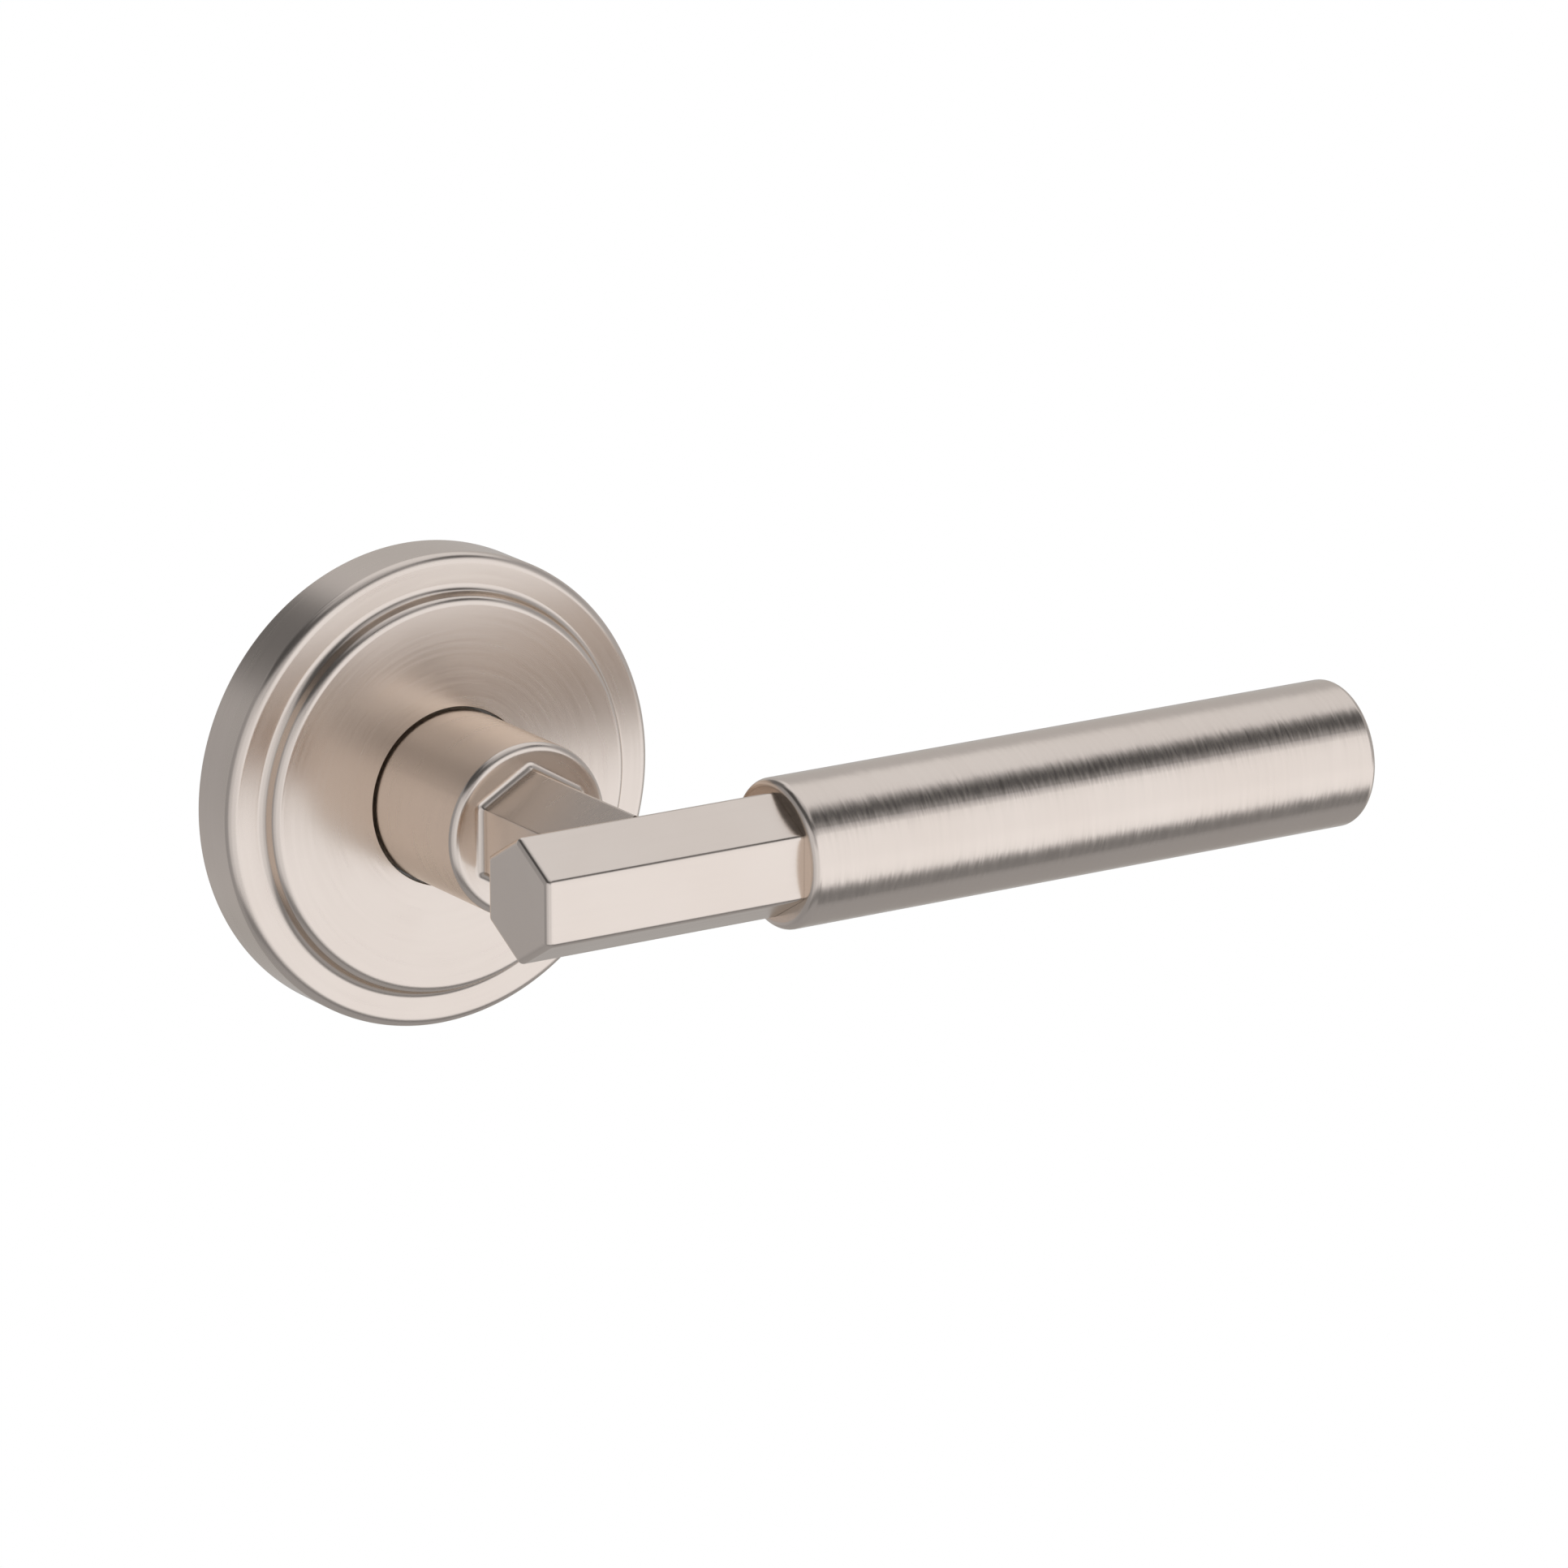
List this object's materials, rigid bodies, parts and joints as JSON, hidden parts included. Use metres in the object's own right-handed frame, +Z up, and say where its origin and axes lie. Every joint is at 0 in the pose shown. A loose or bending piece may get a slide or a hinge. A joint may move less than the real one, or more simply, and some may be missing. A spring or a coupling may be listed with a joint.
{
  "type": "door lever handle",
  "caption": "Satin nickel door lever: stepped round rosette, turned neck, hexagonal lever bar and a round tube grip, sprung to return level.",
  "frame": {"origin": "on the door's face, on the spindle's axis", "axes": "+Z up, the lever runs along +X, +Y goes into the door and the handle stands out along -Y"},
  "size_m": [0.1473, 0.1069, 0.0666],
  "materials": {
    "satin_nickel": "brushed satin nickel plating, warm, fine circular and round-the-tube brush lines",
    "zinc_plated_steel": "bright zinc plating on pressed and machined steel",
    "spring_steel": "oiled spring steel",
    "bronze": "sintered bronze, matt",
    "nylon": "natural nylon",
    "black_steel": "black oxide"
  },
  "bodies": {
    "rose": {"rosette_cover": "satin_nickel", "cover_snap_ring": "spring_steel", "cover_guide_washer": "nylon", "mounting_plate": "zinc_plated_steel", "bearing_bush": "bronze", "spring_housing": "zinc_plated_steel", "return_spring": "spring_steel", "housing_rivet_1": "zinc_plated_steel", "housing_rivet_2": "zinc_plated_steel", "housing_rivet_3": "zinc_plated_steel", "stop_pin_left": "spring_steel", "stop_pin_right": "spring_steel", "fixing_post_left": "zinc_plated_steel", "fixing_post_right": "zinc_plated_steel"},
    "lever": {"lever_neck": "satin_nickel", "hex_bar": "satin_nickel", "bar_screw": "black_steel", "grip_sleeve": "satin_nickel", "grip_end_plug": "satin_nickel", "grip_bush_inner": "bronze", "grip_bush_outer": "bronze", "grip_set_screw": "black_steel", "spindle": "zinc_plated_steel", "spindle_grub_screw": "black_steel", "driver_plate": "zinc_plated_steel", "thrust_washer": "bronze", "wave_washer": "spring_steel", "retaining_ring": "spring_steel"}
  },
  "joints": [
    {"name": "lever_turn", "type": "hinge", "parent": "rose", "child": "lever", "pos_m": [0, 0, 0], "axis": [0, 1, 0], "range_deg": [-45, 45], "stiffness_Nm_per_rad": 1.6, "springref_deg": -6.88, "deforming": ["return_spring"]}
  ]
}
